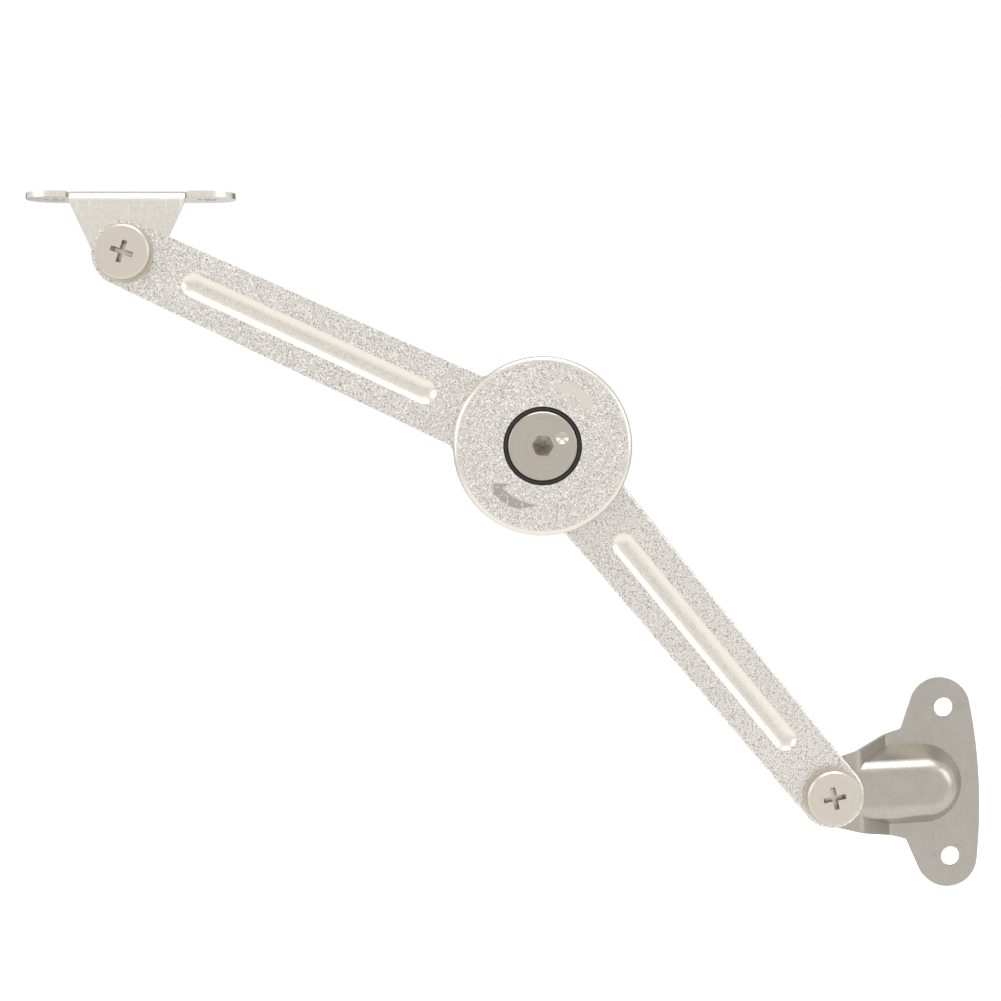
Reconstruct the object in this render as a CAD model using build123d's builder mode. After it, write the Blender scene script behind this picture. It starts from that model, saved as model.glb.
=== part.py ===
"""Folding lid stay with an adjustable friction hub.

A stamped bracket screws to the cabinet side, a folded bracket screws to the lid, and two
die-cast arms join them.  The arms meet in a round hub: each carries one half of its housing,
with a brake pack clamped between them by the adjuster.

The origin is midway between the cabinet bracket's screw holes, on its back face.  +X points
away from the arms, +Z up the cabinet side and -Y out of it, towards whoever opens the lid.
"Depth" is the distance out from the cabinet side, so a point at depth d has y = -d.
"""
from build123d import *
from math import acos, asin, atan2, cos, degrees, hypot, radians, sin, sqrt, tan
import os

# ---------------------------------------------------------------------------------------
# Driving dimensions, in millimetres and degrees
# ---------------------------------------------------------------------------------------

# Both brackets: sheet steel with two screw holes
sheet = 1.2  # thickness
bend_radius = 1.0  # inside radius of every fold
hole_spacing = 32.0
screw_hole_radius = 2.05

# Cabinet bracket: flat plate, drawn horn and raised tongue
pivot_offset = 26.4  # from the line of holes to the lower arm's pivot
tongue_depth = 9.4  # how far out the tongue's front face stands
tongue_radius = 6.6
plate_ear_radius = 6.4
plate_ear_inset = 0.8  # the ears' centres lie this much nearer to the pivot than the holes
plate_edge = 6.8  # from the line of holes to the middle of the bowed outer edge
neck_root = 9.3  # where the ears run into the neck
neck_half_width = 11.8  # at the root
neck_corner_radius = 0.8
ramp_start = 13.2  # the neck leaves the cabinet side here
ramp_end = 20.5  # and reaches the tongue here
horn_half_width = 8.4  # at the plate
horn_centre = 5.4  # centre of its round end, from the line of holes
horn_draft = 20.0
horn_shoulder_radius = 3.4

# Lid bracket: plate with a tapered tab folded down from it
lid_plate_height = 13.2  # from the pivot to the face that meets the lid
lid_ear_radius = 6.0
tab_radius = 6.2
tab_half_width = 12.0  # at the fold
relief_width = 0.6
relief_length = 2.6

# Arms: die-cast bars, each in one piece with half of the hub's housing
arm_pitch = 95.0  # from the end pivot to the hub
arm_thickness = 2.6
arm_gap = 0.4  # between the two arms
eye_radius = 6.8
arm_root_radius = 8.05  # half the arm's width where it enters the hub
arm_edge_round = 0.45
root_fillet = 2.2
bead_start = 13.2  # from the end pivot to the near end of the bead
bead_length = 57.5
bead_width = 4.9
bead_depth = 0.9

# Hub housing
hub_radius = 18.4
hub_wall = 2.0
cup_rise = 3.7  # how far each half stands out of its arm
hub_shoulder_radius = 1.0
hub_hole_radius = 8.1
lip_height = 0.8  # the rear half's lip enters the front half
lip_width = 0.7
lip_clearance = 0.1

# Brake pack inside the hub
boss_radius = 13.2
friction_thickness = 0.9
friction_inner_radius = 4.6
drive_thickness = 1.2
drive_rim_clearance = 0.2
drive_tab_width = 5.0
drive_tab_reach = 1.0  # how far the tabs enter the housing wall
drive_tab_clearance = 0.05
drive_tab_count = 4
drive_tab_step = 45.0
pressure_thickness = 0.7
pressure_radius = 11.5
disc_spring_height = 0.5
disc_spring_thickness = 0.35
plate_play = 0.05  # between a turning plate and its neighbour

# Stop pin
stop_pin_radius = 1.1
stop_pin_circle = 14.4
stop_pin_clearance = 0.1
stop_pin_bite = 1.0  # how far it is pressed into the housing floor
stop_pin_angle = 180.0  # round the hub, from the lower arm's direction

# Adjuster, its ring and its nut
adjuster_radius = 7.06
adjuster_head = 2.3
adjuster_edge = 0.25
adjuster_thread_radius = 4.0
adjuster_turn = -6.9  # a corner of the socket points this way
socket_width = 4.0
socket_depth = 3.2
dimple_radius = 1.27
dimple_circle = 4.36
dimple_angle = 19.4
thread_clearance = 0.02
ring_clearance = 0.08
ring_press_clearance = 0.05
ring_recess = 0.35
ring_crest = 0.3
ring_flange_radius = 9.6
ring_flange = 0.7
hub_nut_width = 13.0
hub_nut_thickness = 3.6
hub_nut_recess = 0.4
hub_nut_clearance = 0.05

# End pivots
screw_head_radius = 5.6
screw_head_height = 3.0
screw_head_edge = 0.3
screw_thread_radius = 2.0
screw_length = 4.6
recess_span = 4.7
recess_wing = 1.05
recess_depth = 2.2
recess_floor_radius = 1.1
recess_corner_radius = 0.25
sleeve_radius = 3.0
sleeve_flange_radius = 5.0
sleeve_flange = 1.5
sleeve_edge = 0.3
bush_wall = 0.9
bush_clearance = 0.05
press_clearance = 0.01
head_washer_radius = 6.1
head_washer = 0.5
pivot_play = 0.05  # between the arm and the washer under the head
spring_gap = 0.5  # between the sheet and the arm, taken up by a spring washer
spring_washer_radius = 5.4
spring_washer_thickness = 0.25
cabinet_recess_turn = 9.1
lid_recess_turn = -21.0

# Rest position
lower_arm_angle = 126.8  # from +X to the arm's direction, pivot to hub
hub_bend = 25.5  # how far the two arms are from a straight line
lid_tilt = -2.9
open_travel = 20.5  # from rest to nearly straight
fold_travel = 109.5  # from rest to folded

# ---------------------------------------------------------------------------------------
# Places worked out from them
# ---------------------------------------------------------------------------------------

# Depths from the cabinet side, back to front
lower_back = tongue_depth + spring_gap
lower_front = lower_back + arm_thickness
upper_back = lower_front + arm_gap
upper_front = upper_back + arm_thickness
hub_back = lower_back - cup_rise
hub_front = upper_front + cup_rise
tab_front = upper_back - spring_gap

# Brake pack, from the rear half's boss to the adjuster's head
rear_friction_back = lower_front
drive_back = rear_friction_back + friction_thickness + plate_play
front_friction_back = drive_back + drive_thickness + plate_play
pressure_back = front_friction_back + friction_thickness
springs_back = pressure_back + pressure_thickness
head_back = springs_back + 2 * disc_spring_height
head_front = head_back + adjuster_head

cavity_radius = hub_radius - hub_wall
lip_radius = cavity_radius - lip_clearance
bead_half = bead_width / 2
bead_section_radius = (bead_half**2 + bead_depth**2) / (2 * bead_depth)
eye_bore_radius = sleeve_radius + bush_clearance + bush_wall


def facing(x, z, turn=0.0):
    """A plane on the cabinet side at (x, z) that faces out, its x axis turned from +X."""
    direction = (cos(radians(turn)), 0, sin(radians(turn)))
    return Plane(origin=(x, 0, z), x_dir=direction, z_dir=(0, -1, 0))


def section(frame, turn=0.0):
    """The plane through a frame's axis, with x along the frame's x and y towards the front."""
    turned = frame.rotated((0, 0, turn))
    return Plane(origin=turned.origin, x_dir=turned.x_dir, z_dir=-turned.y_dir)


def axis_of(frame):
    """The axis through a frame's origin, pointing out."""
    return Axis(frame.origin, frame.z_dir)


# A drilled hole's point: its depth over its radius, for a 118 degree drill that points in
drill_point = 1 / tan(radians(59))
POINT_IN = (Align.CENTER, Align.CENTER, Align.MAX)

# Each moving piece has a frame: an outward-facing plane at its pivot, on the cabinet side
cabinet_pivot = facing(-pivot_offset, 0)
lower_frame = facing(-pivot_offset, 0, lower_arm_angle)
hub_point = lower_frame.from_local_coords(Vector(arm_pitch, 0, 0))
hub_frame = facing(hub_point.X, hub_point.Z)
upper_direction = lower_arm_angle + hub_bend
lid_point = hub_point + Vector(cos(radians(upper_direction)), 0, sin(radians(upper_direction))) * arm_pitch
upper_frame = facing(lid_point.X, lid_point.Z, upper_direction - 180)
lid_frame = facing(lid_point.X, lid_point.Z, lid_tilt)


# ---------------------------------------------------------------------------------------
# Cabinet bracket
# ---------------------------------------------------------------------------------------


def touch_angle(centre, radius, point, side):
    """The angle on a circle where a line from a point outside touches it."""
    across = hypot(point[0] - centre[0], point[1] - centre[1])
    towards = degrees(atan2(point[1] - centre[1], point[0] - centre[0]))
    return (towards + side * degrees(acos(radius / across))) % 360


def on_circle(centre, radius, angle):
    """A point on a circle."""
    return (centre[0] + radius * cos(radians(angle)), centre[1] + radius * sin(radians(angle)))


def bracket_outline():
    """The bracket seen from the front: two ears, a bowed outer edge and a tapered neck."""
    ear = (-plate_ear_inset, hole_spacing / 2)
    tongue = (-pivot_offset, 0)
    root = (-neck_root, neck_half_width)
    reach = plate_edge + plate_ear_inset
    bow_radius = (ear[1] ** 2 + reach**2 - plate_ear_radius**2) / (2 * (reach - plate_ear_radius))
    bow_centre = (plate_edge - bow_radius, 0)
    bow_angle = degrees(atan2(ear[1], ear[0] - bow_centre[0]))
    flank_angle = touch_angle(ear, plate_ear_radius, root, -1)
    neck_angle = touch_angle(tongue, tongue_radius, root, 1)
    with BuildSketch() as outline:
        with BuildLine():
            CenterArc(bow_centre, bow_radius, 0, bow_angle)
            CenterArc(ear, plate_ear_radius, bow_angle, flank_angle - bow_angle)
            Line(on_circle(ear, plate_ear_radius, flank_angle), root)
            Line(root, on_circle(tongue, tongue_radius, neck_angle))
            CenterArc(tongue, tongue_radius, neck_angle, 180 - neck_angle)
            mirror(about=Plane.XZ)
        make_face()
        corners = outline.vertices().filter_by(lambda v: abs(v.X - root[0]) < 1e-3)
        fillet(corners, neck_corner_radius)
    return outline.sketch


def fold_path():
    """The back of the folded strip seen from above: plate, ramp and tongue."""
    tongue_back = sheet - tongue_depth
    far = pivot_offset + 2 * tongue_radius
    points = [(2 * plate_edge, 0), (-ramp_start, 0), (-ramp_end, tongue_back), (-far, tongue_back)]
    return FilletPolyline(*points, radius=(bend_radius + sheet, bend_radius))


def horn_blank(half_width, base, top, shoulder):
    """A drafted block with one round end, which reaches from the plate to under the tongue."""
    length = pivot_offset - horn_centre
    with BuildPart() as blank:
        with BuildSketch(Plane.XZ.offset(base)):
            with Locations((-horn_centre - length / 2, 0)):
                SlotCenterToCenter(length, 2 * half_width)
        extrude(amount=top - base, taper=horn_draft)
        fillet(blank.faces().sort_by(Axis.Y)[0].edges(), shoulder)
    return blank.part


with BuildPart() as behind_fold:
    with BuildSketch(Plane.XY):
        with BuildLine():
            path = fold_path()
            Polyline(path @ 1, (path.position_at(1).X, tongue_depth), (path.position_at(0).X, tongue_depth), path @ 0)
        make_face()
    extrude(amount=hole_spacing, both=True)

draft_tan = tan(radians(horn_draft))
foot_half_width = horn_half_width + sheet * draft_tan
cavity_half_width = foot_half_width - sheet / cos(radians(horn_draft))

with BuildPart() as horn:
    add(horn_blank(horn_half_width, sheet, tongue_depth, horn_shoulder_radius))
    add(behind_fold.part, mode=Mode.SUBTRACT)

with BuildPart() as cabinet_bracket:
    with BuildSketch(Plane.XY):
        with BuildLine():
            fold_path()
            offset(amount=sheet, side=Side.LEFT)
        make_face()
    extrude(amount=hole_spacing, both=True)
    with BuildSketch(Plane.XZ):
        add(bracket_outline())
    extrude(amount=tongue_depth, mode=Mode.INTERSECT)
    add(horn.part)
    add(horn_blank(cavity_half_width, 0, tongue_depth - sheet, horn_shoulder_radius - sheet), mode=Mode.SUBTRACT)
    with BuildSketch(Plane.XZ):
        with GridLocations(0, hole_spacing, 1, 2):
            Circle(screw_hole_radius)
        with Locations((-pivot_offset, 0)):
            Circle(sleeve_radius + press_clearance)
    extrude(amount=tongue_depth, mode=Mode.SUBTRACT)


# ---------------------------------------------------------------------------------------
# Lid bracket
# ---------------------------------------------------------------------------------------


def tab_outline():
    """The tab seen from the front: round at the pivot and widening up to the fold."""
    fold_height = lid_plate_height - sheet - bend_radius
    shoulder = (tab_half_width, fold_height)
    side_angle = touch_angle((0, 0), tab_radius, shoulder, -1) - 360
    with BuildSketch() as outline:
        with BuildLine():
            CenterArc((0, 0), tab_radius, -90, side_angle + 90)
            Line(on_circle((0, 0), tab_radius, side_angle), shoulder)
            Line(shoulder, (tab_half_width, lid_plate_height))
            Line((tab_half_width, lid_plate_height), (0, lid_plate_height))
            mirror(about=Plane.YZ)
        make_face()
    return outline.sketch


lid_plate_back = tab_front - 2 * lid_ear_radius
lid_plate_middle = tab_front - lid_ear_radius
lid_side = Plane(origin=lid_frame.origin, x_dir=lid_frame.y_dir, z_dir=lid_frame.x_dir)
lid_top = Plane(origin=lid_frame.origin, x_dir=lid_frame.x_dir, z_dir=lid_frame.y_dir)
lid_plate_under = lid_plate_height - sheet

with BuildPart() as lid_bracket:
    # The folded strip: the middle of the plate, the fold and the tapered tab
    with BuildSketch(lid_side):
        with BuildLine():
            corner = (lid_plate_under, tab_front - sheet)
            FilletPolyline((lid_plate_under, lid_plate_back), corner, (-tab_radius, corner[1]), radius=bend_radius)
            offset(amount=sheet, side=Side.RIGHT)
        make_face()
    extrude(amount=tab_half_width, both=True)
    with BuildSketch(lid_frame):
        add(tab_outline())
    extrude(amount=tab_front, mode=Mode.INTERSECT)
    # The plate's ears, parted from the fold by two relief slits
    with BuildSketch(lid_top.offset(lid_plate_under)):
        with Locations((0, -lid_plate_middle)):
            SlotCenterToCenter(hole_spacing, 2 * lid_ear_radius)
        with Locations((0, -tab_front)):
            Rectangle(2 * (tab_half_width + relief_width), 2 * relief_length, mode=Mode.SUBTRACT)
    extrude(amount=sheet)
    with BuildSketch(lid_top):
        with Locations((0, -lid_plate_middle)):
            with GridLocations(hole_spacing, 0, 2, 1):
                Circle(screw_hole_radius)
    extrude(amount=lid_plate_height, mode=Mode.SUBTRACT)
    with BuildSketch(lid_frame):
        Circle(sleeve_radius + press_clearance)
    extrude(amount=tab_front, mode=Mode.SUBTRACT)


# ---------------------------------------------------------------------------------------
# Arms
# ---------------------------------------------------------------------------------------


def arm_outline():
    """An arm seen from the front, its end pivot at the origin and its hub along +X."""
    with BuildSketch() as outline:
        Circle(eye_radius)
        with Locations((arm_pitch, 0)):
            Circle(arm_root_radius)
        make_hull()
        with Locations((arm_pitch, 0)):
            Circle(hub_radius)
        roots = outline.vertices().filter_by_position(Axis.X, arm_pitch / 2, arm_pitch)
        fillet(roots, root_fillet)
    return outline.sketch


def bead_cutter(frame, front):
    """The hollow of a sunk bead: a long round-ended groove of circular section."""
    middle = bead_start + bead_length / 2
    height = front + bead_section_radius - bead_depth
    straight = bead_length - bead_width
    side = section(frame)
    with BuildPart() as cutter:
        with BuildSketch(side):
            with Locations((middle, height)):
                SlotCenterToCenter(straight, 2 * bead_section_radius)
            with Locations((middle, height - bead_section_radius)):
                Rectangle(2 * bead_length, 2 * bead_section_radius, mode=Mode.SUBTRACT)
        revolve(axis=Axis(side.from_local_coords(Vector(0, height, 0)), side.x_dir))
    return cutter.part


def rim_edges(part, depth):
    """The outer edges of the flat face at a depth."""
    face = part.faces().filter_by(Plane.XZ).filter_by_position(Axis.Y, -depth - 0.01, 0.01 - depth).sort_by(SortBy.AREA)[-1]
    return face.outer_wire().edges()


with BuildPart() as lower_arm:
    # The bar, and the rear half of the housing behind it
    with BuildSketch(lower_frame.offset(lower_back)):
        add(arm_outline())
    extrude(amount=arm_thickness)
    with BuildSketch(hub_frame.offset(hub_back)):
        Circle(hub_radius)
    extrude(amount=cup_rise)
    fillet(rim_edges(lower_arm, hub_back), hub_shoulder_radius)
    fillet(rim_edges(lower_arm, lower_front), arm_edge_round)
    # Lip that enters the front half
    with BuildSketch(hub_frame.offset(lower_front)):
        Circle(lip_radius)
    extrude(amount=lip_height)
    # Hollow for the brake pack, with a boss in its middle that ends level with the rim
    with BuildSketch(hub_frame.offset(hub_back + hub_wall)):
        Circle(lip_radius - lip_width)
    extrude(amount=hub_front, mode=Mode.SUBTRACT)
    with BuildSketch(hub_frame.offset(hub_back + hub_wall)):
        Circle(boss_radius)
    extrude(amount=lower_front - hub_back - hub_wall)
    # Pocket for the nut, way for the adjuster, seat for the stop pin
    with BuildSketch(hub_frame.offset(hub_back)):
        RegularPolygon(hub_nut_width / 2 + hub_nut_clearance, 6, major_radius=False)
    extrude(amount=hub_nut_recess + hub_nut_thickness, mode=Mode.SUBTRACT)
    with BuildSketch(hub_frame):
        Circle(adjuster_thread_radius + thread_clearance)
    extrude(amount=lower_front, mode=Mode.SUBTRACT)
    add(bead_cutter(lower_frame, lower_front), mode=Mode.SUBTRACT)
    with BuildSketch(lower_frame):
        Circle(eye_bore_radius + press_clearance)
    extrude(amount=lower_front, mode=Mode.SUBTRACT)

    with BuildSketch(hub_frame.offset(hub_back + hub_wall - stop_pin_bite)):
        with PolarLocations(stop_pin_circle, 1, lower_arm_angle + stop_pin_angle):
            Circle(stop_pin_radius + press_clearance)
    extrude(amount=stop_pin_bite, mode=Mode.SUBTRACT)

# Where the drive plate's tabs stand round the hub: opposite the sector that the pin sweeps
sweep_middle = lower_arm_angle + stop_pin_angle - (fold_travel - open_travel) / 2
tab_angles = [sweep_middle + 180 + drive_tab_step * (i - (drive_tab_count - 1) / 2) for i in range(drive_tab_count)]
front_wall_back = hub_front - hub_wall

with BuildPart() as upper_arm:
    # The bar, and the front half of the housing before it
    with BuildSketch(upper_frame.offset(upper_back)):
        add(arm_outline())
    extrude(amount=arm_thickness)
    with BuildSketch(hub_frame.offset(upper_front)):
        Circle(hub_radius)
    extrude(amount=cup_rise)
    fillet(rim_edges(upper_arm, hub_front), hub_shoulder_radius)
    fillet(rim_edges(upper_arm, upper_back), arm_edge_round)
    with BuildSketch(hub_frame.offset(upper_back)):
        Circle(cavity_radius)
    extrude(amount=front_wall_back - upper_back, mode=Mode.SUBTRACT)
    with BuildSketch(hub_frame.offset(upper_back)):
        Circle(hub_hole_radius)
    extrude(amount=hub_front, mode=Mode.SUBTRACT)
    # Slots in the wall for the drive plate's tabs
    with BuildSketch(hub_frame.offset(upper_back)):
        for angle in tab_angles:
            with PolarLocations(cavity_radius, 1, angle):
                Rectangle(2 * (drive_tab_reach + drive_tab_clearance), drive_tab_width + 2 * drive_tab_clearance)
    extrude(amount=drive_back + drive_thickness - upper_back, mode=Mode.SUBTRACT)
    add(bead_cutter(upper_frame, upper_front), mode=Mode.SUBTRACT)
    with BuildSketch(upper_frame):
        Circle(eye_bore_radius + press_clearance)
    extrude(amount=upper_front, mode=Mode.SUBTRACT)


# ---------------------------------------------------------------------------------------
# Brake pack
# ---------------------------------------------------------------------------------------


def ring_plate(back, outer, inner, thickness):
    """A flat ring round the hub's axis."""
    with BuildPart() as plate:
        with BuildSketch(hub_frame.offset(back)):
            Circle(outer)
            Circle(inner, mode=Mode.SUBTRACT)
        extrude(amount=thickness)
    return plate.part


def cone_washer(frame, back, outer, inner, height, thickness, narrow_front=True):
    """A disc spring: a ring pressed into a shallow cone."""
    side = section(frame)
    rise = height - thickness
    inner_back, outer_back = (back + rise, back) if narrow_front else (back, back + rise)
    with BuildPart() as washer:
        with BuildSketch(side):
            with BuildLine():
                Polyline(
                    (inner, inner_back),
                    (outer, outer_back),
                    (outer, outer_back + thickness),
                    (inner, inner_back + thickness),
                    close=True,
                )
            make_face()
        revolve(axis=axis_of(frame))
    return washer.part


rear_friction_disc = ring_plate(rear_friction_back, boss_radius, friction_inner_radius, friction_thickness)
front_friction_disc = ring_plate(front_friction_back, boss_radius, friction_inner_radius, friction_thickness)
pressure_plate = ring_plate(pressure_back, pressure_radius, friction_inner_radius, pressure_thickness)

spring_outer = adjuster_radius - ring_clearance
spring_inner = adjuster_thread_radius + ring_clearance
rear_disc_spring = cone_washer(
    hub_frame, springs_back, spring_outer, spring_inner, disc_spring_height, disc_spring_thickness
)
front_disc_spring = cone_washer(
    hub_frame,
    springs_back + disc_spring_height,
    spring_outer,
    spring_inner,
    disc_spring_height,
    disc_spring_thickness,
    narrow_front=False,
)

drive_radius = cavity_radius - drive_rim_clearance
notch_radius = stop_pin_circle - stop_pin_radius - stop_pin_clearance
notch_margin = degrees(asin((stop_pin_radius + stop_pin_clearance) / stop_pin_circle))
notch_sweep = open_travel + fold_travel + 2 * notch_margin
notch_start = sweep_middle - notch_sweep / 2

with BuildPart() as drive_plate:
    with BuildSketch(hub_frame.offset(drive_back)):
        Circle(drive_radius)
        for angle in tab_angles:
            with PolarLocations(drive_radius, 1, angle):
                Rectangle(2 * (drive_rim_clearance + drive_tab_reach), drive_tab_width)
        # The rim is cut back over the sector that the stop pin sweeps
        with BuildLine():
            inside = CenterArc((0, 0), notch_radius, notch_start, notch_sweep)
            outside = CenterArc((0, 0), hub_radius, notch_start, notch_sweep)
            Line(inside @ 0, outside @ 0)
            Line(inside @ 1, outside @ 1)
        make_face(mode=Mode.SUBTRACT)
        Circle(friction_inner_radius, mode=Mode.SUBTRACT)
    extrude(amount=drive_thickness)

with BuildPart() as stop_pin:
    with BuildSketch(hub_frame.offset(hub_back + hub_wall - stop_pin_bite)):
        with PolarLocations(stop_pin_circle, 1, lower_arm_angle + stop_pin_angle):
            Circle(stop_pin_radius)
    extrude(amount=drive_back + drive_thickness - hub_back - hub_wall + stop_pin_bite)
    chamfer(stop_pin.faces().sort_by(Axis.Y)[0].edges(), stop_pin_radius / 4)

# ---------------------------------------------------------------------------------------
# Adjuster, the ring round it and its nut
# ---------------------------------------------------------------------------------------

with BuildPart() as adjuster:
    with BuildSketch(hub_frame.offset(head_back)):
        Circle(adjuster_radius)
    extrude(amount=adjuster_head)
    chamfer(adjuster.faces().sort_by(Axis.Y)[0].edges(), adjuster_edge)
    with BuildSketch(hub_frame.offset(hub_back + hub_nut_recess)):
        Circle(adjuster_thread_radius)
    extrude(amount=head_back - hub_back - hub_nut_recess)
    chamfer(adjuster.faces().sort_by(Axis.Y)[-1].edges(), adjuster_edge)
    # Hexagon socket with a drilled bottom, and the dimple that marks the setting
    with BuildSketch(hub_frame.offset(head_front)):
        RegularPolygon(socket_width / 2, 6, major_radius=False, rotation=adjuster_turn)
    extrude(amount=-socket_depth, mode=Mode.SUBTRACT)
    with Locations(hub_frame.offset(head_front - socket_depth)):
        Cone(0, socket_width / 2, drill_point * socket_width / 2, align=POINT_IN, mode=Mode.SUBTRACT)
    dimple_place = on_circle((0, 0), dimple_circle, dimple_angle)
    with Locations(hub_frame.offset(head_front)):
        with Locations(dimple_place):
            Cone(0, dimple_radius, drill_point * dimple_radius, align=POINT_IN, mode=Mode.SUBTRACT)

# The ring lies in the front half's hole and is kept there by a flange behind the wall
ring_inner = adjuster_radius + ring_clearance
ring_outer = hub_hole_radius - ring_press_clearance

with BuildPart() as bearing_ring:
    with BuildSketch(section(hub_frame)):
        flange_back = front_wall_back - ring_flange
        ring_top = hub_front - ring_recess
        with BuildLine():
            Polyline(
                (ring_inner, flange_back),
                (ring_flange_radius, flange_back),
                (ring_flange_radius, front_wall_back),
                (ring_outer, front_wall_back),
                (ring_outer, ring_top),
                (ring_inner, ring_top),
                close=True,
            )
        make_face()
    revolve(axis=axis_of(hub_frame))
    fillet(bearing_ring.faces().sort_by(Axis.Y)[0].edges(), ring_crest)

with BuildPart() as hub_nut:
    with BuildSketch(hub_frame.offset(hub_back + hub_nut_recess)):
        RegularPolygon(hub_nut_width / 2, 6, major_radius=False)
        Circle(adjuster_thread_radius + thread_clearance, mode=Mode.SUBTRACT)
    extrude(amount=hub_nut_thickness)
    # Corners turned off at both ends
    with BuildSketch(section(hub_frame)):
        nut_corner = hub_nut_width / sqrt(3)
        bevel = (nut_corner - hub_nut_width / 2) / 2
        with Locations((0, hub_back + hub_nut_recess + hub_nut_thickness / 2)):
            turned = Rectangle(2 * nut_corner, hub_nut_thickness)
        chamfer(turned.vertices(), length=bevel, length2=2 * bevel)
        with Locations((-hub_radius, 0)):
            Rectangle(2 * hub_radius, 2 * hub_front, mode=Mode.SUBTRACT)
    revolve(axis=axis_of(hub_frame), mode=Mode.INTERSECT)


# ---------------------------------------------------------------------------------------
# End pivots: the same five pieces at the cabinet and at the lid
# ---------------------------------------------------------------------------------------


def cross_recess(face):
    """The hollow of a cross recess, sunk from a plane on the screw's head."""
    with BuildPart() as recess:
        with BuildSketch(face):
            Rectangle(recess_span, recess_wing)
            Rectangle(recess_wing, recess_span)
            fillet(vertices().sort_by_distance(face.origin)[:4], recess_corner_radius)
        extrude(amount=-recess_depth)
        # The wings run in towards the bottom
        with BuildSketch(section(face)):
            with BuildLine():
                Polyline(
                    (0, 0),
                    (recess_span / 2, 0),
                    (recess_floor_radius, -recess_depth),
                    (0, -recess_depth),
                    close=True,
                )
            make_face()
        revolve(axis=axis_of(face), mode=Mode.INTERSECT)
    return recess.part


def pivot_screw(frame, seat, recess_turn):
    """A screw with a wide flat head whose underside is at the depth of its seat."""
    top = frame.offset(seat + screw_head_height)
    with BuildPart() as screw:
        with BuildSketch(frame.offset(seat)):
            Circle(screw_head_radius)
        extrude(amount=screw_head_height)
        chamfer(screw.faces().sort_by(Axis.Y)[0].edges(), screw_head_edge)
        with BuildSketch(frame.offset(seat - screw_length)):
            Circle(screw_thread_radius)
        extrude(amount=screw_length)
        add(cross_recess(top.rotated((0, 0, recess_turn))), mode=Mode.SUBTRACT)
    return screw.part


def sleeve_nut(frame, sheet_back, seat):
    """A flange behind the sheet and a threaded sleeve that the arm turns on."""
    with BuildPart() as nut:
        with BuildSketch(frame.offset(sheet_back - sleeve_flange)):
            Circle(sleeve_flange_radius)
        extrude(amount=sleeve_flange)
        chamfer(nut.faces().sort_by(Axis.Y)[-1].edges(), sleeve_edge)
        with BuildSketch(frame.offset(sheet_back)):
            Circle(sleeve_radius)
        extrude(amount=seat - sheet_back)
        with BuildSketch(frame.offset(sheet_back)):
            Circle(screw_thread_radius + thread_clearance)
        extrude(amount=seat, mode=Mode.SUBTRACT)
    return nut.part


def arm_bush(frame, arm_back):
    """A plain liner pressed into the arm's eye."""
    with BuildPart() as bush:
        with BuildSketch(frame.offset(arm_back)):
            Circle(eye_bore_radius)
            Circle(sleeve_radius + bush_clearance, mode=Mode.SUBTRACT)
        extrude(amount=arm_thickness)
    return bush.part


def head_seat_washer(frame, back):
    """A flat washer between the arm and the screw's head."""
    with BuildPart() as washer:
        with BuildSketch(frame.offset(back)):
            Circle(head_washer_radius)
            Circle(screw_thread_radius + thread_clearance, mode=Mode.SUBTRACT)
        extrude(amount=head_washer)
    return washer.part


pieces = {
    "cabinet_bracket": cabinet_bracket.part,
    "lower_arm": lower_arm.part,
    "upper_arm": upper_arm.part,
    "lid_bracket": lid_bracket.part,
    "hub_nut": hub_nut.part,
    "stop_pin": stop_pin.part,
    "rear_friction_disc": rear_friction_disc,
    "drive_plate": drive_plate.part,
    "front_friction_disc": front_friction_disc,
    "pressure_plate": pressure_plate,
    "rear_disc_spring": rear_disc_spring,
    "front_disc_spring": front_disc_spring,
    "bearing_ring": bearing_ring.part,
    "adjuster": adjuster.part,
}

ends = {
    "cabinet": (cabinet_pivot, tongue_depth, lower_front, cabinet_recess_turn),
    "lid": (lid_frame, tab_front, upper_front, lid_recess_turn),
}
for end, (frame, sheet_front, arm_front, recess_turn) in ends.items():
    washer_back = arm_front + pivot_play
    head_seat = washer_back + head_washer
    pieces[f"{end}_pivot_screw"] = pivot_screw(frame, head_seat, recess_turn)
    pieces[f"{end}_head_washer"] = head_seat_washer(frame, washer_back)
    pieces[f"{end}_pivot_bush"] = arm_bush(frame, arm_front - arm_thickness)
    pieces[f"{end}_spring_washer"] = cone_washer(
        frame,
        sheet_front,
        spring_washer_radius,
        sleeve_radius + bush_clearance,
        spring_gap - pivot_play,
        spring_washer_thickness,
    )
    pieces[f"{end}_sleeve_nut"] = sleeve_nut(frame, sheet_front - sheet, washer_back)

os.makedirs("parts", exist_ok=True)
for name, part in pieces.items():
    part.label = name
    export_step(part, f"parts/{name}.step")
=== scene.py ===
"""Looks of a folding lid stay: two nickel-plated arms, their friction hub and two brackets.

The sections follow the stay as it is put together, from the bracket on the cabinet side to the
one on the lid.  Lengths on a surface are in millimetres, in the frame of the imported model.
"""

from math import cos, pi, radians, sin, tan

import bpy
from mathutils import Matrix, Vector


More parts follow.
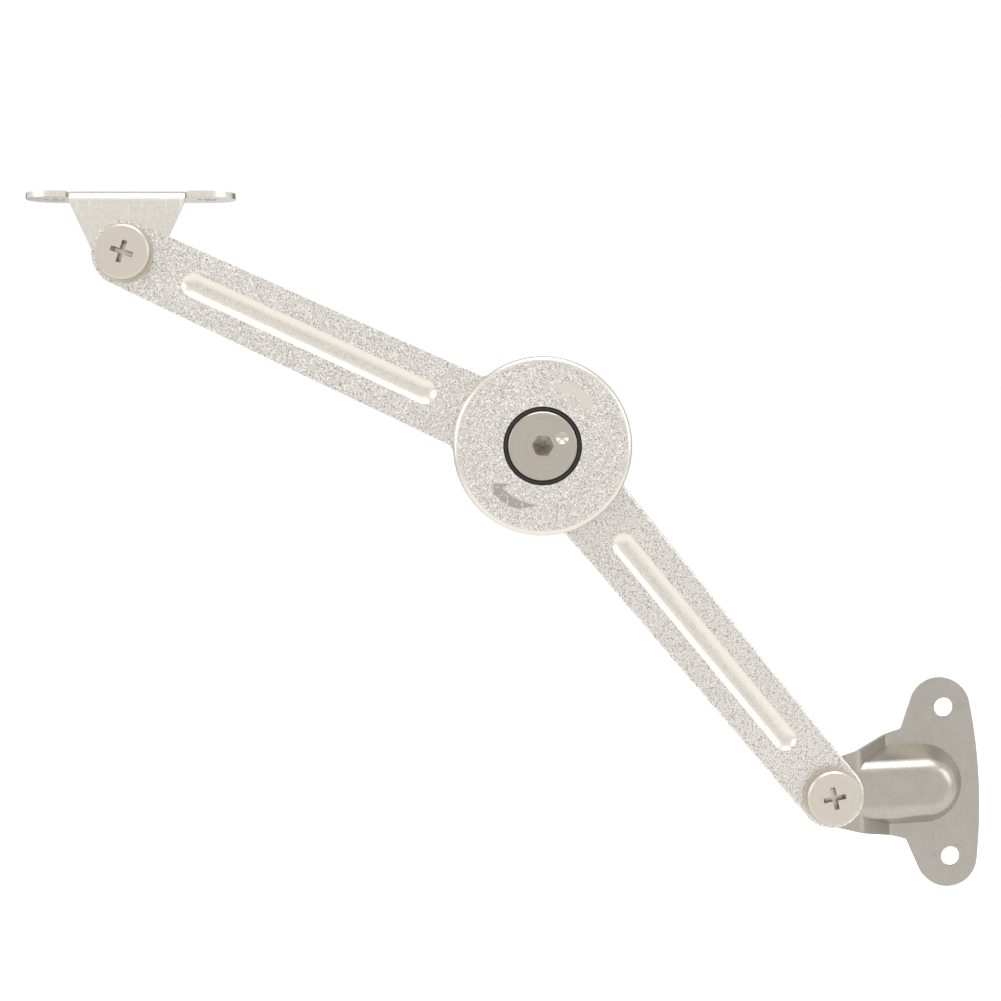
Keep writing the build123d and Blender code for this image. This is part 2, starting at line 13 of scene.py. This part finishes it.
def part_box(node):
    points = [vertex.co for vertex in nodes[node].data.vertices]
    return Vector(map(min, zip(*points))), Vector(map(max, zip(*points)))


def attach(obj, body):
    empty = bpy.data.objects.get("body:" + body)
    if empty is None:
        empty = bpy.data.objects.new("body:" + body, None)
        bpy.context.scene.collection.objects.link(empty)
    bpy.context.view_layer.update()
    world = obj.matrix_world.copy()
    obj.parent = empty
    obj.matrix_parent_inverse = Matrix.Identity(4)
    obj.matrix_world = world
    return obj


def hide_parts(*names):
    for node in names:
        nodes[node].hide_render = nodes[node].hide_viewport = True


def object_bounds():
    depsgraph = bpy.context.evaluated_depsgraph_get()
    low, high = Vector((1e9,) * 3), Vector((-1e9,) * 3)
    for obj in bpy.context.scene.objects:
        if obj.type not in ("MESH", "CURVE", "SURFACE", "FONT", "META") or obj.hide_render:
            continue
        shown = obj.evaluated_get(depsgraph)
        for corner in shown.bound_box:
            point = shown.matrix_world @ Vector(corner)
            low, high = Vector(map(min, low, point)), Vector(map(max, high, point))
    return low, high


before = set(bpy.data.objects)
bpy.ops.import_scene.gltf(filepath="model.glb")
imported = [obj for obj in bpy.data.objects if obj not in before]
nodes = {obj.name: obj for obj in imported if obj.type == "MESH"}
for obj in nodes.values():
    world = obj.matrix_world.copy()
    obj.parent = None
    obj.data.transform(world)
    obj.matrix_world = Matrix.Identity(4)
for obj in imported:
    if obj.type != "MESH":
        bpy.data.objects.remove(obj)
cad_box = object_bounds()

# ------------------------------------------------------------------------------------------
# Cabinet bracket
# Steel sheet, stamped and drawn into a hollow horn, then tumbled and nickel-plated.  Two
# screws through its ears hold it to the cabinet side.
# ------------------------------------------------------------------------------------------


class Field:
    """A value that changes over a surface.  Arithmetic on it adds Math nodes to its graph."""

    def __init__(self, graph, socket):
        self.graph = graph
        self.socket = socket

    def __add__(self, other):
        return self.graph.maths("ADD", self, other)

    def __sub__(self, other):
        return self.graph.maths("SUBTRACT", self, other)

    def __rsub__(self, other):
        return self.graph.maths("SUBTRACT", other, self)

    def __mul__(self, other):
        return self.graph.maths("MULTIPLY", self, other)

    def __abs__(self):
        return self.graph.maths("ABSOLUTE", self)

    __radd__ = __add__
    __rmul__ = __mul__

    def split(self):
        """The x, y and z of a vector, each as a field."""
        node = self.graph.node("ShaderNodeSeparateXYZ", {}, {0: self}).socket.node
        return [Field(self.graph, output) for output in node.outputs]

    def rise(self, low, high):
        """0 below one value, 1 above another, and smooth between them."""
        settings = {"interpolation_type": "SMOOTHSTEP"}
        values = {"Value": self, "From Min": low, "From Max": high}
        return self.graph.node("ShaderNodeMapRange", settings, values)


class Graph:
    """Shader nodes, of a material or of the world."""

    def __init__(self, tree):
        self.tree = tree

    def node(self, kind, settings, inputs, output=0):
        """Adds a node: first its settings, then the values or links of its sockets."""
        made = self.tree.nodes.new(kind)
        for name, value in settings.items():
            setattr(made, name, value)
        self.fill(made, inputs)
        return Field(self, made.outputs[output])

    def fill(self, made, inputs):
        """Sets or links sockets of a node."""
        for name, value in inputs.items():
            if isinstance(value, Field):
                self.tree.links.new(value.socket, made.inputs[name])
            else:
                made.inputs[name].default_value = value

    def maths(self, operation, *values):
        return self.node("ShaderNodeMath", {"operation": operation}, dict(enumerate(values)))

    def largest(self, first, *others):
        """The largest of several values."""
        for other in others:
            first = self.maths("MAXIMUM", first, other)
        return first

    def length(self, first, second):
        """The length of a vector with these two parts."""
        return self.maths("SQRT", first * first + second * second)

    def mix(self, first, second, share):
        """A colour between two others."""
        return self.node("ShaderNodeMix", {"data_type": "RGBA"}, {0: share, 6: first, 7: second}, 2)


class Finish(Graph):
    """A surface finish: one material, whose nodes are added by the calls below."""

    def __init__(self, name, roughness, metallic=1.0):
        self.material = bpy.data.materials.new(name)
        self.material.use_nodes = True
        super().__init__(self.material.node_tree)
        self.surface = self.tree.nodes["Principled BSDF"]
        self.give({"Roughness": roughness, "Metallic": metallic})
        place = self.node("ShaderNodeTexCoord", {}, {}, "Object")
        self.place = self.node("ShaderNodeVectorMath", {"operation": "SCALE"}, {0: place, "Scale": 1000.0})

    def give(self, inputs):
        """Sets or links sockets of the surface shader."""
        self.fill(self.surface, inputs)

    def stretched(self, x, y, z):
        """The place with each direction scaled, so that noise on it is drawn out into lines."""
        return self.node("ShaderNodeVectorMath", {"operation": "MULTIPLY"}, {0: self.place, 1: (x, y, z)})

    def noise(self, scale, detail=2.0, place=None, roughness=0.5):
        inputs = {"Vector": place or self.place, "Scale": scale, "Detail": detail, "Roughness": roughness}
        return self.node("ShaderNodeTexNoise", {}, inputs)

    def bump(self, height, depth, strength=1.0):
        """Relief, with its depth in millimetres."""
        inputs = {"Height": height, "Distance": depth / 1000, "Strength": strength}
        self.give({"Normal": self.node("ShaderNodeBump", {}, inputs)})

    def cover(self, *names):
        """Puts the finish on CAD nodes."""
        for name in names:
            for slot in nodes[name].material_slots:
                slot.material = self.material


def middle(name):
    """The middle of a CAD node, in millimetres."""
    low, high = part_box(name)
    return (low + high) * 500


# Painted shade: the cabinet bracket's sheet tone is much darker than the lid bracket's, the same sheet, and
# stands for the dark reflection on its flat ears and horn.
cabinet_sheet_painted_shade = (0.46, 0.43, 0.385, 1.0)
sheet_dark = (0.25, 0.235, 0.205, 1.0)

bracket_finish = Finish("tumbled_nickel_sheet", 0.34)
grain = bracket_finish.noise(3.2, 3.0).rise(0.40, 0.66)
mottle = bracket_finish.noise(0.35).rise(0.3, 0.7)
# Its base is that darkened sheet tone, painted shade, under random grain and mottle.
bracket_colour = bracket_finish.mix(cabinet_sheet_painted_shade, sheet_dark, grain * 0.30 + mottle * 0.10)
bracket_finish.give({"Base Color": bracket_colour, "Roughness": grain * 0.08 + 0.30})
bracket_finish.bump(grain, 0.012, 0.5)
bracket_finish.cover("cabinet_bracket")

# ------------------------------------------------------------------------------------------
# Lid bracket
# The same sheet, folded to a right angle.  The fold was drawn over the die's edge, which
# left fine upright scratches on the tab below it.
# ------------------------------------------------------------------------------------------

fold_above_pivot = 11.0
scratch_length = 5.5
tab_light = (0.72, 0.68, 0.62, 1.0)
scratch_colour = (0.88, 0.84, 0.76, 1.0)

tab_finish = Finish("folded_nickel_sheet", 0.32)
grain = tab_finish.noise(2.2, 3.0).rise(0.40, 0.66)
streaks = tab_finish.noise(1.0, 2.0, tab_finish.stretched(3.2, 1.0, 0.18)).rise(0.58, 0.70)
_, _, height = tab_finish.place.split()
fold = middle("lid_pivot_screw").z + fold_above_pivot
scratches = streaks * height.rise(fold - scratch_length, fold - 1.0) * (1 - height.rise(fold, fold + 0.6))
tab_ground = tab_finish.mix(tab_light, sheet_dark, grain * 0.14)
tab_finish.give({"Base Color": tab_finish.mix(tab_ground, scratch_colour, scratches * 0.7)})
tab_finish.bump(grain + scratches, 0.006, 0.5)
tab_finish.cover("lid_bracket")

# ------------------------------------------------------------------------------------------
# Arms
# Zinc, die-cast and nickel-plated over a blasted skin.  Their fine grain carries painted shade
# in dark specks and painted glints in pale ones.  The sunk beads and the outer rims come smooth
# from the polished die.
# ------------------------------------------------------------------------------------------

cast_light = (0.67, 0.635, 0.59, 1.0)
# The next colour is painted shade for the grain's pits, and the one after it is a painted glint.
cast_pit_shade = (0.27, 0.25, 0.225, 1.0)
cast_glint_paint = (0.98, 0.96, 0.92, 1.0)
cast_smooth = (0.72, 0.675, 0.60, 1.0)
hub_middle = middle("adjuster")
bead_near = 13.2  # from the end pivot
bead_far = 70.7
bead_half = 2.45
lower_front = 12.5  # how far out the front of each arm stands
upper_front = 15.5


class Casting(Finish):
    """The finish of one arm, which knows where its bead and the hub lie."""

    def __init__(self, name, end, front):
        super().__init__(name, 0.36)
        x, y, z = self.place.split()
        way = Vector((hub_middle.x - end.x, hub_middle.z - end.z)).normalized()
        end_x = x - end.x
        end_z = z - end.z
        along = end_x * way.x + end_z * way.y
        across = end_z * way.x - end_x * way.y
        span = {"Value": along, "Min": bead_near + bead_half, "Max": bead_far - bead_half}
        off = self.length(along - self.node("ShaderNodeClamp", {}, span), across)
        outside = off.rise(bead_half - 0.25, bead_half + 0.15)
        self.bead = (1 - outside) * (1 - y.rise(0.4 - front, 1.6 - front))
        self.level = y
        self.hub_x = x - hub_middle.x
        self.hub_z = z - hub_middle.z
        self.hub_off = self.length(self.hub_x, self.hub_z)

    def blast(self, smooth, tint=cast_smooth, tinted=0.0):
        """Grain with painted shade in its pits and painted glints, apart from its smooth places, some of
        which are tinted.
        """
        rough = 1 - smooth
        fine = self.noise(2.7, 2.0, roughness=0.6)
        # Painted shade in the blast pits and painted glints on the grain, put into the surface's colour.
        painted_pit_shade = fine.rise(0.52, 0.62)
        painted_glints = self.noise(3.2, 1.0).rise(0.54, 0.64)
        ground = self.mix(cast_light, cast_pit_shade, painted_pit_shade * 0.75)
        with_painted_glints = self.mix(ground, cast_glint_paint, painted_glints * 0.75)
        colour = self.mix(self.mix(with_painted_glints, cast_smooth, smooth), tint, tinted)
        self.give({"Base Color": colour, "Roughness": rough * 0.10 + 0.27})
        self.bump(fine * rough, 0.06, 0.7)


lower_finish = Casting("blasted_nickel_lower", middle("cabinet_pivot_screw"), lower_front)
lower_finish.blast(lower_finish.bead)
lower_finish.cover("lower_arm")

# The upper arm carries the hub's face, which shows two arrows: the ways to turn the adjuster.
hub_face_radius = 17.2
arrow_ink = (0.42, 0.40, 0.365, 1.0)
arrow_radius = 12.15  # of the arrow's middle line at its tail
arrow_drift = 0.9  # how far that line has moved out at the head
arrow_half_width = 1.05  # at the head
arrow_tail = radians(86)
arrow_widest = radians(58)
arrow_joint = (radians(40), radians(41))  # where the body runs into the head
arrow_head = [(10.25, 46.1), (14.4, 41.7), (12.7, 34.1)]  # radius and angle of its corners
print_edge = 0.12


def arrow(finish, turn):
    """A curved arrow round the hub: a body that widens from its tail, and a head."""
    turn_cos = cos(radians(turn))
    turn_sin = sin(radians(turn))
    right = finish.hub_x * turn_cos + finish.hub_z * turn_sin
    up = finish.hub_z * turn_cos - finish.hub_x * turn_sin
    angle = finish.maths("ARCTAN2", up, right)
    swell = 1 - angle.rise(arrow_widest, arrow_tail)
    centre = swell * arrow_drift + arrow_radius
    body = 1 - (abs(finish.hub_off - centre) - swell * arrow_half_width).rise(-print_edge, print_edge)
    body = body * angle.rise(*arrow_joint) * (1 - angle.rise(arrow_tail - 0.02, arrow_tail))
    points = [Vector((r * cos(radians(a)), r * sin(radians(a)))) for r, a in arrow_head]
    head = 1.0
    for first, second in zip(points, points[1:] + points[:1]):
        edge = (second - first).normalized()
        inward = (right - first.x) * edge.y - (up - first.y) * edge.x
        head = inward.rise(-print_edge, print_edge) * head
    return finish.largest(body, head)


upper_finish = Casting("blasted_nickel_upper", middle("lid_pivot_screw"), upper_front)
face = 1 - upper_finish.level.rise(-19.0, -18.6)
front_half = 1 - upper_finish.level.rise(-16.0, -15.6)
rim = upper_finish.hub_off.rise(hub_face_radius, hub_face_radius + 0.35) * front_half
bare_arrow = arrow(upper_finish, 0) * face
inked_arrow = arrow(upper_finish, 180) * face
wear = upper_finish.noise(1.3, 2.0).rise(0.60, 0.66)
smooth = upper_finish.largest(upper_finish.bead, bare_arrow, inked_arrow, rim * 0.9)
upper_finish.blast(smooth, arrow_ink, inked_arrow * (1 - wear))
upper_finish.cover("upper_arm")

# ------------------------------------------------------------------------------------------
# Bearing ring
# A moulded ring of black plastic in the hub's hole, which keeps the adjuster off the casting.
# ------------------------------------------------------------------------------------------

ring_finish = Finish("black_moulded_ring", 0.38, 0.0)
speck = ring_finish.noise(1.8, 3.0)
ring_black = (0.012, 0.010, 0.008, 1.0)
ring_brown = (0.05, 0.042, 0.035, 1.0)
ring_finish.give({"Base Color": ring_finish.mix(ring_black, ring_brown, speck.rise(0.5, 0.9))})
ring_finish.bump(speck, 0.02, 0.3)
ring_finish.cover("bearing_ring", "front_friction_disc", "rear_friction_disc")

# ------------------------------------------------------------------------------------------
# Adjuster and its nut
# Steel, turned on a lathe: the tool left fine rings on the adjuster's head.
# ------------------------------------------------------------------------------------------


def turned_finish(name, centre, ring_pitch, light, dark, roughness):
    """Turned steel: rings round an axis, with slow changes round them."""
    finish = Finish(name, roughness)
    x, _, z = finish.place.split()
    out_x = x - centre.x
    out_z = z - centre.z
    ring = finish.length(out_x, out_z) * (1 / ring_pitch)
    rings_place = finish.node("ShaderNodeCombineXYZ", {}, {0: ring, 1: out_x * 0.12, 2: out_z * 0.12})
    rings = finish.noise(1.0, 3.0, rings_place).rise(0.3, 0.7)
    finish.give({"Base Color": finish.mix(light, dark, rings * 0.35), "Roughness": rings * 0.08 + roughness})
    finish.bump(rings, 0.004, 0.6)
    return finish


steel_light = (0.49, 0.455, 0.395, 1.0)
steel_dark = (0.33, 0.305, 0.26, 1.0)

adjuster_finish = turned_finish("turned_steel", hub_middle, 0.16, steel_light, steel_dark, 0.30)
adjuster_finish.cover("adjuster", "hub_nut", "stop_pin")
adjuster_finish.cover("pressure_plate", "drive_plate", "rear_disc_spring", "front_disc_spring")

# ------------------------------------------------------------------------------------------
# End pivots
# Nickel-plated steel screws with wide heads and a cross recess, on washers.  Each arm turns on
# the sleeve nut that its screw is driven into.
# ------------------------------------------------------------------------------------------

head_radius = 5.6
head_height = 3.0
head_chamfer = 0.35
shank_radius = 2.0
cross_half_span = 2.35
cross_half_width = 0.52
cross_depth = 2.0
cross_taper = 0.72  # the recess narrows to this share at its floor
steps = 360  # points round the screw
screw_light = (0.62, 0.57, 0.495, 1.0)
screw_dark = (0.51, 0.47, 0.40, 1.0)


def cross_radius(angle):
    """How far the outline of a cross recess lies from its middle, at an angle from one wing."""
    off = abs((angle + pi / 4) % (pi / 2) - pi / 4)
    if tan(off) * cross_half_span < cross_half_width:
        return cross_half_span / cos(off)
    return cross_half_width / sin(off)


def cross_screw(end, turn, body):
    """A pivot screw, as rings of points from its shank's end to the floor of its recess."""
    low, high = (corner * 1000 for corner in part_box(f"{end}_pivot_screw"))
    axis_x, axis_z = (low.x + high.x) / 2, (low.z + high.z) / 2
    front, back = low.y, high.y
    seat = front + head_height
    plain = [
        (shank_radius, back),
        (shank_radius, seat),
        (head_radius, seat),
        (head_radius, front + head_chamfer),
        (head_radius - head_chamfer, front),
    ]
    angles = [2 * pi * i / steps for i in range(steps)]
    rings = [[(r, a, y) for a in angles] for r, y in plain]
    rings.append([(cross_radius(a - radians(turn)), a, front) for a in angles])
    rings.append([(cross_radius(a - radians(turn)) * cross_taper, a, front + cross_depth) for a in angles])
    points = [
        Vector((axis_x + r * cos(a), y, axis_z + r * sin(a))) / 1000 for ring in rings for r, a, y in ring
    ]
    faces = [
        (k * steps + i, k * steps + (i + 1) % steps, (k + 1) * steps + (i + 1) % steps, (k + 1) * steps + i)
        for k in range(len(rings) - 1)
        for i in range(steps)
    ]
    for ring, y in ((0, back), (len(rings) - 1, front + cross_depth)):
        hub = len(points)
        points.append(Vector((axis_x, y, axis_z)) / 1000)
        fan = [(ring * steps + i, ring * steps + (i + 1) % steps, hub) for i in range(steps)]
        faces += [face[::-1] for face in fan] if ring == 0 else fan
    mesh = bpy.data.meshes.new(f"{end}_screw")
    mesh.from_pydata(points, [], faces)
    mesh.update()
    screw = bpy.data.objects.new(f"{end}_screw", mesh)
    bpy.context.scene.collection.objects.link(screw)
    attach(screw, body)
    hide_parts(f"{end}_pivot_screw")
    return screw


for end, turn, body in (("cabinet", 9.1, "cabinet_side"), ("lid", -21.0, "lid_side")):
    head_middle = middle(f"{end}_pivot_screw")
    screw_finish = turned_finish(f"plated_{end}_screw", head_middle, 0.22, screw_light, screw_dark, 0.34)
    screw = cross_screw(end, turn, body)
    screw.data.materials.append(screw_finish.material)
    for piece in ("head_washer", "sleeve_nut", "spring_washer", "pivot_bush"):
        screw_finish.cover(f"{end}_{piece}")

# ------------------------------------------------------------------------------------------
# Studio
# A pale floor, a white surround, a grey ring that draws the edges, and three soft boxes.
# ------------------------------------------------------------------------------------------

low, high = cad_box
floor_drop = 0.22
floor_half = 6.0
floor_corners = [(-1, -1), (1, -1), (1, 1), (-1, 1)]
floor_mesh = bpy.data.meshes.new("floor")
floor_mesh.from_pydata([(x * floor_half, y * floor_half, 0) for x, y in floor_corners], [], [(0, 1, 2, 3)])
floor = bpy.data.objects.new("floor", floor_mesh)
floor.location.z = low[2] - floor_drop
bpy.context.scene.collection.objects.link(floor)
floor_finish = Finish("pale_floor", 0.9, 0.0)
camera_ray = floor_finish.node("ShaderNodeLightPath", {}, {}, "Is Camera Ray")
floor_finish.give({"Base Color": (0.82, 0.82, 0.82, 1.0), "Specular IOR Level": 0.0})
floor_glow = floor_finish.mix((0.0, 0.0, 0.0, 1.0), (0.55, 0.55, 0.55, 1.0), camera_ray)
floor_finish.give({"Emission Color": floor_glow, "Emission Strength": 1.0})
floor_mesh.materials.append(floor_finish.material)

# The surround is plain white to the camera and in metal, and lights the stay more from above.
low_strength = 0.62
high_strength = 1.15
world = bpy.data.worlds.new("studio")
bpy.context.scene.world = world
world.use_nodes = True
sky = Graph(world.node_tree)
_, _, height = sky.node("ShaderNodeTexCoord", {}, {}, "Generated").split()
lit = height.rise(-0.1, 0.8) * (high_strength - low_strength) + low_strength
shown_to = ("Is Camera Ray", "Is Glossy Ray", "Is Transmission Ray")
seen = sky.largest(*(sky.node("ShaderNodeLightPath", {}, {}, ray) for ray in shown_to))
strength = lit * (1 - seen) + seen
sky.fill(sky.tree.nodes["Background"], {"Color": (1.0, 1.0, 1.0, 1.0), "Strength": strength})


def soft_box(name, place, target, size, power):
    """A square soft box that faces a point."""
    light = bpy.data.lights.new(name, "AREA")
    light.shape = "SQUARE"
    light.size = size
    light.energy = power
    box = bpy.data.objects.new(name, light)
    box.location = place
    box.rotation_euler = (Vector(target) - Vector(place)).to_track_quat("-Z", "Y").to_euler()
    bpy.context.scene.collection.objects.link(box)


centre = Vector([(a + b) / 2 for a, b in zip(low, high)])

# A grey ring behind the stay shows only in reflections, as a thin dark line along rounded edges.
ring_steps = 48
ring_back = 0.5
ring_radii = (0.22, 0.62)
ring_points = [
    centre + Vector((r * cos(2 * pi * i / ring_steps), ring_back, r * sin(2 * pi * i / ring_steps)))
    for r in ring_radii
    for i in range(ring_steps)
]
ring_faces = [
    (i, (i + 1) % ring_steps, (i + 1) % ring_steps + ring_steps, i + ring_steps) for i in range(ring_steps)
]
flag_mesh = bpy.data.meshes.new("edge_flag")
flag_mesh.from_pydata(ring_points, [], ring_faces)
flag_finish = Finish("edge_flag", 1.0, 0.0)
flag_finish.give({"Base Color": (0.05, 0.05, 0.05, 1.0), "Specular IOR Level": 0.0})
flag_mesh.materials.append(flag_finish.material)
flag = bpy.data.objects.new("edge_flag", flag_mesh)
flag.visible_camera = False
flag.visible_diffuse = False
flag.visible_shadow = False
bpy.context.scene.collection.objects.link(flag)

soft_box("top_box", centre + Vector((0.1, -0.25, 0.9)), centre, 0.8, 6.0)
soft_box("left_box", centre + Vector((-0.9, -0.5, 0.35)), centre, 0.6, 2.5)
soft_box("right_box", centre + Vector((0.9, -0.5, 0.25)), centre, 0.6, 2.0)

# ------------------------------------------------------------------------------------------
# Camera
# It stands in front of the stay, a little above its middle and turned a few degrees.
# ------------------------------------------------------------------------------------------

camera_place = Vector((-0.0945, -0.4734, 0.07406))
look_down = radians(1.10)
look_right = radians(0.25)
roll = radians(-2.91)
forward = Vector((sin(look_right) * cos(look_down), cos(look_right) * cos(look_down), -sin(look_down)))
level_right = Vector((cos(look_right), -sin(look_right), 0))
level_up = level_right.cross(forward)
right = level_right * cos(roll) + level_up * sin(roll)
up = level_up * cos(roll) - level_right * sin(roll)
lens = bpy.data.cameras.new("camera")
lens.sensor_width = 36.0
lens.lens = 79.62
lens.clip_start = 0.01
camera = bpy.data.objects.new("camera", lens)
camera.matrix_world = Matrix.Translation(camera_place) @ Matrix((right, up, -forward)).transposed().to_4x4()
bpy.context.scene.collection.objects.link(camera)
bpy.context.scene.camera = camera
bpy.context.scene.view_settings.view_transform = "Standard"
